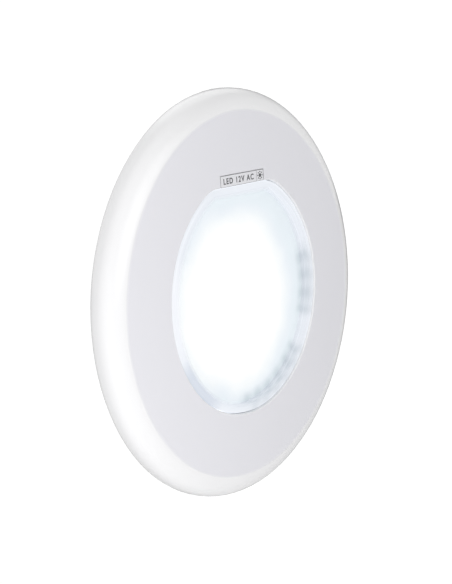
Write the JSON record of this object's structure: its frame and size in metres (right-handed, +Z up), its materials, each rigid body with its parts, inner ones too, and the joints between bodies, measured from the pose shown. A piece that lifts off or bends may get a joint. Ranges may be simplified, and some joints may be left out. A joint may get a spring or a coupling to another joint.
{
  "type": "underwater pool light",
  "caption": "Flat wall-mounted underwater pool light: round white trim ring, D-shaped lit lens, sealed lamp housing and quarter-turn wall bracket.",
  "frame": {"origin": "centre of the bracket's cable passage, in the plane of the pool wall", "axes": "+Z up, +Y into the wall, -Y out into the pool, +X to the right as seen from the front"},
  "size_m": [0.27, 0.0455, 0.27],
  "materials": {
    "gloss_abs": "gloss moulded white",
    "badge_abs": "satin white, blank",
    "polycarbonate": "clear, lightly frosted inside",
    "housing_pbt": "moulded off-white",
    "bracket_abs": "moulded off-white",
    "reflector": "satin white",
    "opal": "opal, lit from behind",
    "led": "lit phosphor",
    "white_board": "white solder mask",
    "green_board": "green solder mask",
    "heat_spreader": "mill finish",
    "capacitor_can": "drawn can",
    "stainless": "turned",
    "brass": "turned",
    "silicone": "moulded",
    "nylon": "moulded black",
    "moulded_black": "moulded",
    "terminal": "moulded",
    "acetal": "moulded"
  },
  "bodies": {
    "wall_mount": {"wall_bracket": "bracket_abs"},
    "lamp": {"rear_housing": "housing_pbt", "housing_gasket": "silicone", "lens": "polycarbonate", "lens_clamp_ring": "housing_pbt", "lock_screw_insert": "brass", "cable_gland_body": "nylon", "gland_o_ring": "silicone", "gland_seal": "silicone", "gland_lock_nut": "nylon", "heat_spreader": "heat_spreader", "led_board": "white_board", "ribbed_reflector_ring": "reflector", "opal_diffuser": "opal", "driver_board": "green_board", "choke": "moulded_black", "bridge_rectifier": "moulded_black", "terminal_block": "terminal", "clamp_screw_1": "stainless", "clamp_screw_2": "stainless", "clamp_screw_3": "stainless", "clamp_screw_4": "stainless", "clamp_screw_5": "stainless", "clamp_screw_6": "stainless", "clamp_screw_7": "stainless", "clamp_screw_8": "stainless", "trim_grommet_1": "silicone", "trim_grommet_2": "silicone", "trim_grommet_3": "silicone", "trim_grommet_4": "silicone", "spreader_screw_1": "stainless", "driver_screw_1": "stainless", "spreader_screw_2": "stainless", "driver_screw_2": "stainless", "spreader_screw_3": "stainless", "driver_screw_3": "stainless", "capacitor_1": "capacitor_can", "capacitor_2": "capacitor_can", "led_01": "led", "led_02": "led", "led_03": "led", "led_04": "led", "led_05": "led", "led_06": "led", "led_07": "led", "led_08": "led", "led_09": "led", "led_10": "led", "led_11": "led", "led_12": "led"},
    "trim": {"trim_ring": "gloss_abs", "badge_plate": "badge_abs"},
    "lock_washer": {"lock_screw_washer": "stainless"},
    "lock_screw": {"lock_screw": "stainless"},
    "gland_slip_ring": {"gland_slip_ring": "acetal"},
    "gland_nut": {"gland_nut": "nylon"}
  },
  "joints": [
    {"name": "lamp_turn", "type": "hinge", "parent": "wall_mount", "child": "lamp", "pos_m": [0, 0, 0], "axis": [0, -1, 0], "range_deg": [0, 24]},
    {"name": "trim_pull", "type": "slide", "parent": "lamp", "child": "trim", "axis": [0, -1, 0], "range_m": [0, 0.025]},
    {"name": "lock_screw_travel", "type": "slide", "parent": "lamp", "child": "lock_washer", "axis": [0, -1, 0], "range_m": [0, 0.006]},
    {"name": "lock_screw_turn", "type": "hinge", "parent": "lock_washer", "child": "lock_screw", "pos_m": [0, -0.03, 0.105], "axis": [0, -1, 0], "range_deg": [0, 3086]},
    {"name": "gland_nut_travel", "type": "slide", "parent": "lamp", "child": "gland_slip_ring", "axis": [0, 1, 0], "range_m": [0, 0.003]},
    {"name": "gland_nut_turn", "type": "hinge", "parent": "gland_slip_ring", "child": "gland_nut", "pos_m": [0, -0.01, 0], "axis": [0, 1, 0], "range_deg": [0, 720.5]}
  ],
  "couplings": [
    {"joint": "lock_screw_turn", "follows": "lock_screw_travel", "rad_per_m": 8976},
    {"joint": "gland_nut_turn", "follows": "gland_nut_travel", "rad_per_m": 4188.8}
  ]
}
